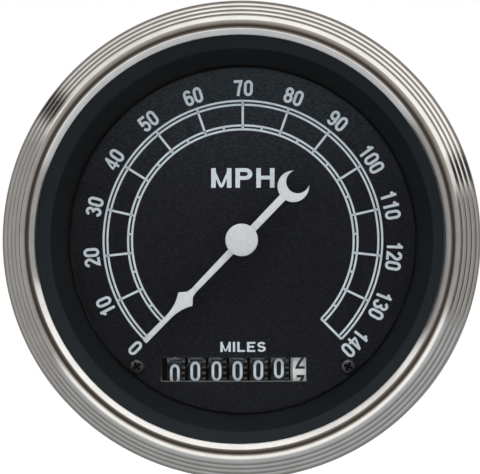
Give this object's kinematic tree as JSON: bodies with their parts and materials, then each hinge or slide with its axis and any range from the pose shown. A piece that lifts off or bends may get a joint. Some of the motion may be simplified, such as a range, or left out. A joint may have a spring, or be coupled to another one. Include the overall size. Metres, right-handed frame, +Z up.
{
  "type": "speedometer",
  "caption": "Round panel speedometer with a reeded bezel, a sweeping pointer over a printed dial, a drum odometer, and a clamp bracket on threaded studs behind.",
  "frame": {"origin": "centre of the bezel's rear face, where the gauge seats on the panel", "axes": "+Y from the panel's front to the back of the gauge, so that the dial faces -Y; +Z up the dial; +X to the dial's right as it is read"},
  "size_m": [0.0942, 0.075, 0.0942],
  "materials": {
    "bezel_chrome": "polished plating, lightly worn",
    "lens_glass": "clear",
    "gasket_rubber": "matt",
    "ring_paint": "satin black",
    "case_zinc": "zinc plated",
    "dial_paint": "matt black, fine grained",
    "frame_zinc": "zinc plated",
    "brass_parts": "turned",
    "board_laminate": "solder mask",
    "black_moulding": "moulded",
    "white_moulding": "moulded",
    "coil_copper": "enamelled copper wire",
    "pointer_paint": "satin white",
    "magnet_ferrite": "sintered",
    "drum_black": "moulded, satin",
    "drum_white": "moulded, satin"
  },
  "bodies": {
    "gauge": {"bezel": "bezel_chrome", "glass_lens": "lens_glass", "lens_gasket": "gasket_rubber", "trim_ring": "ring_paint", "case_cup": "case_zinc", "dial_plate": "dial_paint", "dial_screws": "ring_paint", "dial_pillars": "frame_zinc", "movement_plate": "frame_zinc", "frame_screws": "frame_zinc", "board_standoffs": "brass_parts", "case_screws": "frame_zinc", "circuit_board": "board_laminate", "board_components": "black_moulding", "movement_can": "frame_zinc", "movement_cover": "black_moulding", "former_front": "white_moulding", "former_rear": "white_moulding", "inner_coil": "coil_copper", "outer_coil": "coil_copper", "spindle_bushes": "brass_parts", "connection_pins": "brass_parts", "left_side_plate": "black_moulding", "right_side_plate": "black_moulding", "odometer_axles": "frame_zinc", "transfer_spacers": "brass_parts", "odometer_motor": "black_moulding", "lamp_sockets": "black_moulding", "lamp_bulbs": "lens_glass", "terminal_block": "black_moulding", "terminal_studs": "brass_parts", "terminal_nuts": "brass_parts", "mounting_studs": "frame_zinc", "stud_nuts": "frame_zinc", "button_housing": "black_moulding"},
    "pointer_rotor": {"pointer_spindle": "frame_zinc", "rotor_magnet": "magnet_ferrite", "pointer": "pointer_paint", "pointer_cap": "pointer_paint"},
    "tenths_wheel": {"drum_tenths": "drum_white"},
    "ones_wheel": {"drum_ones": "drum_black"},
    "tens_wheel": {"drum_tens": "drum_black"},
    "hundreds_wheel": {"drum_hundreds": "drum_black"},
    "thousands_wheel": {"drum_thousands": "drum_black"},
    "ten_thousands_wheel": {"drum_ten_thousands": "drum_black"},
    "hundred_thousands_wheel": {"drum_hundred_thousands": "drum_black"},
    "transfer_1": {"transfer_pinion_1": "white_moulding"},
    "transfer_2": {"transfer_pinion_2": "white_moulding"},
    "transfer_3": {"transfer_pinion_3": "white_moulding"},
    "transfer_4": {"transfer_pinion_4": "white_moulding"},
    "transfer_5": {"transfer_pinion_5": "white_moulding"},
    "transfer_6": {"transfer_pinion_6": "white_moulding"},
    "idler": {"idler_gear": "white_moulding"},
    "motor_rotor": {"motor_pinion": "brass_parts"},
    "button": {"button_plunger": "gasket_rubber"},
    "clamp": {"clamp_bracket": "frame_zinc", "clamp_washers": "frame_zinc"},
    "nut_left": {"clamp_nut_left": "brass_parts"},
    "nut_right": {"clamp_nut_right": "brass_parts"}
  },
  "joints": [
    {"name": "pointer_swing", "type": "hinge", "parent": "gauge", "child": "pointer_rotor", "pos_m": [0, 0.0112, 0], "axis": [0, 1, 0], "range_deg": [0, 272]},
    {"name": "tenths_spin", "type": "hinge", "parent": "gauge", "child": "tenths_wheel", "pos_m": [0.01122, 0.01465, -0.02547], "axis": [-1, 0, 0], "continuous": true},
    {"name": "ones_spin", "type": "hinge", "parent": "gauge", "child": "ones_wheel", "pos_m": [0.00711, 0.01465, -0.02547], "axis": [-1, 0, 0], "continuous": true},
    {"name": "tens_spin", "type": "hinge", "parent": "gauge", "child": "tens_wheel", "pos_m": [0.00299, 0.01465, -0.02547], "axis": [-1, 0, 0], "continuous": true},
    {"name": "hundreds_spin", "type": "hinge", "parent": "gauge", "child": "hundreds_wheel", "pos_m": [-0.00112, 0.01465, -0.02547], "axis": [-1, 0, 0], "continuous": true},
    {"name": "thousands_spin", "type": "hinge", "parent": "gauge", "child": "thousands_wheel", "pos_m": [-0.00524, 0.01465, -0.02547], "axis": [-1, 0, 0], "continuous": true},
    {"name": "ten_thousands_spin", "type": "hinge", "parent": "gauge", "child": "ten_thousands_wheel", "pos_m": [-0.00936, 0.01465, -0.02547], "axis": [-1, 0, 0], "continuous": true},
    {"name": "hundred_thousands_spin", "type": "hinge", "parent": "gauge", "child": "hundred_thousands_wheel", "pos_m": [-0.01347, 0.01465, -0.02547], "axis": [-1, 0, 0], "continuous": true},
    {"name": "transfer_1_spin", "type": "hinge", "parent": "gauge", "child": "transfer_1", "pos_m": [-0.01153, 0.02314, -0.03037], "axis": [-1, 0, 0], "continuous": true},
    {"name": "transfer_2_spin", "type": "hinge", "parent": "gauge", "child": "transfer_2", "pos_m": [-0.00741, 0.02314, -0.03037], "axis": [-1, 0, 0], "continuous": true},
    {"name": "transfer_3_spin", "type": "hinge", "parent": "gauge", "child": "transfer_3", "pos_m": [-0.0033, 0.02314, -0.03037], "axis": [-1, 0, 0], "continuous": true},
    {"name": "transfer_4_spin", "type": "hinge", "parent": "gauge", "child": "transfer_4", "pos_m": [0.00082, 0.02314, -0.03037], "axis": [-1, 0, 0], "continuous": true},
    {"name": "transfer_5_spin", "type": "hinge", "parent": "gauge", "child": "transfer_5", "pos_m": [0.00494, 0.02314, -0.03037], "axis": [-1, 0, 0], "continuous": true},
    {"name": "transfer_6_spin", "type": "hinge", "parent": "gauge", "child": "transfer_6", "pos_m": [0.00905, 0.02314, -0.03037], "axis": [-1, 0, 0], "continuous": true},
    {"name": "idler_spin", "type": "hinge", "parent": "gauge", "child": "idler", "pos_m": [0.0137, 0.01891, -0.01823], "axis": [-1, 0, 0], "continuous": true},
    {"name": "motor_spin", "type": "hinge", "parent": "gauge", "child": "motor_rotor", "pos_m": [0.0141, 0.02179, -0.01034], "axis": [-1, 0, 0], "continuous": true},
    {"name": "button_press", "type": "slide", "parent": "gauge", "child": "button", "axis": [0, -1, 0], "range_m": [0, 0.0006], "stiffness_N_per_m": 800, "springref_m": -0.001},
    {"name": "clamp_slide", "type": "slide", "parent": "gauge", "child": "clamp", "axis": [0, -1, 0], "range_m": [0, 0.0085]},
    {"name": "nut_left_turn", "type": "hinge", "parent": "clamp", "child": "nut_left", "pos_m": [-0.026, 0.063, 0], "axis": [0, -1, 0], "range_deg": [0, 3855]},
    {"name": "nut_right_turn", "type": "hinge", "parent": "clamp", "child": "nut_right", "pos_m": [0.026, 0.063, 0], "axis": [0, -1, 0], "range_deg": [0, 3855]}
  ],
  "couplings": [
    {"joint": "ones_spin", "follows": "tenths_spin", "ratio": 0.1},
    {"joint": "tens_spin", "follows": "tenths_spin", "ratio": 0.01},
    {"joint": "hundreds_spin", "follows": "tenths_spin", "ratio": 0.001},
    {"joint": "thousands_spin", "follows": "tenths_spin", "ratio": 0.0001},
    {"joint": "ten_thousands_spin", "follows": "tenths_spin", "ratio": 0.00001},
    {"joint": "hundred_thousands_spin", "follows": "tenths_spin", "ratio": 0.000001},
    {"joint": "transfer_1_spin", "follows": "tenths_spin", "ratio": -0.0000025},
    {"joint": "transfer_2_spin", "follows": "tenths_spin", "ratio": -0.000025},
    {"joint": "transfer_3_spin", "follows": "tenths_spin", "ratio": -0.00025},
    {"joint": "transfer_4_spin", "follows": "tenths_spin", "ratio": -0.0025},
    {"joint": "transfer_5_spin", "follows": "tenths_spin", "ratio": -0.025},
    {"joint": "transfer_6_spin", "follows": "tenths_spin", "ratio": -0.25},
    {"joint": "idler_spin", "follows": "tenths_spin", "ratio": -2.5},
    {"joint": "motor_spin", "follows": "tenths_spin", "ratio": 6.25},
    {"joint": "nut_left_turn", "follows": "clamp_slide", "rad_per_m": 7913.3},
    {"joint": "nut_right_turn", "follows": "clamp_slide", "rad_per_m": 7913.3}
  ]
}
